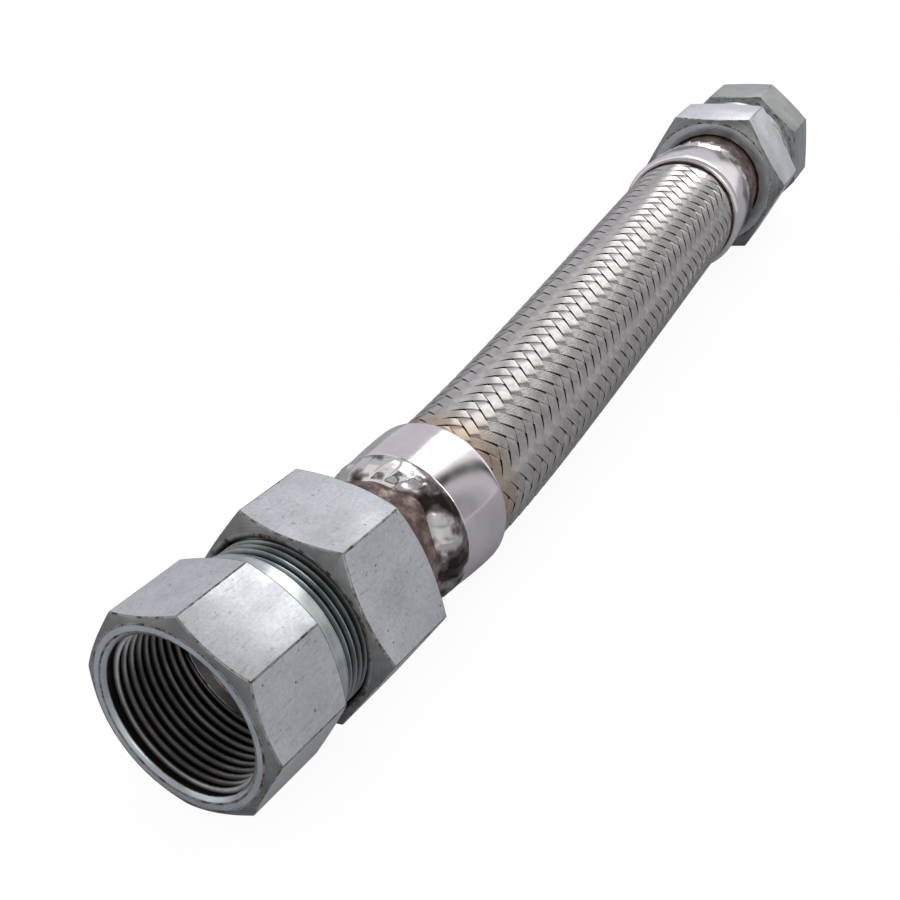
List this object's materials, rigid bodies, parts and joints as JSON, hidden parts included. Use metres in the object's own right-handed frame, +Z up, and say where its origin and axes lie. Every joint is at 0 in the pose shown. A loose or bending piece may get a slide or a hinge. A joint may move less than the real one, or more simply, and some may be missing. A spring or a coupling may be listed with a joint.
{
  "type": "braided stainless steel hose",
  "caption": "Short flexible metal hose: corrugated steel tube in a woven steel wire sleeve, polished ferrules, and a plated hexagon union with a female pipe thread at each end.",
  "frame": {"origin": "middle of the bounding box, on the surface that the hose lies on", "axes": "+X from the near mouth to the far mouth, +Z up as the hose lies"},
  "size_m": [0.3974, 0.0772, 0.0562],
  "materials": {
    "plated": "zinc plated steel, matte, finely pitted, dark on worn edges",
    "gasket": "black fibre gasket",
    "tail": "steel sleeve, rust brown near the weld",
    "weld": "bright rippled weld bead with scorched patches",
    "ferrule": "polished stainless steel sleeve",
    "braid": "woven bands of bright stainless wire",
    "hose_wall": "plain stainless steel wall with ring folds"
  },
  "bodies": {
    "hose": {"tail_near": "tail", "weld_bead_near": "weld", "ferrule_near": "ferrule", "gasket_near": "gasket", "braid": "braid", "corrugated_hose": "hose_wall", "ferrule_far": "ferrule", "weld_bead_far": "weld", "tail_far": "tail", "gasket_far": "gasket"},
    "nut_near": {"union_nut_near": "plated"},
    "adapter_near": {"adapter_near": "plated"},
    "nut_far": {"union_nut_far": "plated"},
    "adapter_far": {"adapter_far": "plated"}
  },
  "joints": [
    {"name": "nut_near_turn", "type": "hinge", "parent": "hose", "child": "nut_near", "pos_m": [-0.15789, -0.00977, 0.0261], "axis": [0.9989, 0, -0.0473], "range_deg": [0, 1800]},
    {"name": "adapter_near_draw", "type": "slide", "parent": "hose", "child": "adapter_near", "axis": [-0.9989, 0, 0.0473], "range_m": [0, 0.01002]},
    {"name": "nut_far_turn", "type": "hinge", "parent": "hose", "child": "nut_far", "pos_m": [0.15526, 0.00861, 0.02823], "axis": [-0.9914, -0.1133, 0.0653], "range_deg": [0, 1800]},
    {"name": "adapter_far_draw", "type": "slide", "parent": "hose", "child": "adapter_far", "axis": [0.9914, 0.1133, -0.0653], "range_m": [0, 0.01002]}
  ],
  "couplings": [
    {"joint": "adapter_near_draw", "follows": "nut_near_turn", "m_per_rad": 0.00031831},
    {"joint": "adapter_far_draw", "follows": "nut_far_turn", "m_per_rad": 0.00031831}
  ]
}
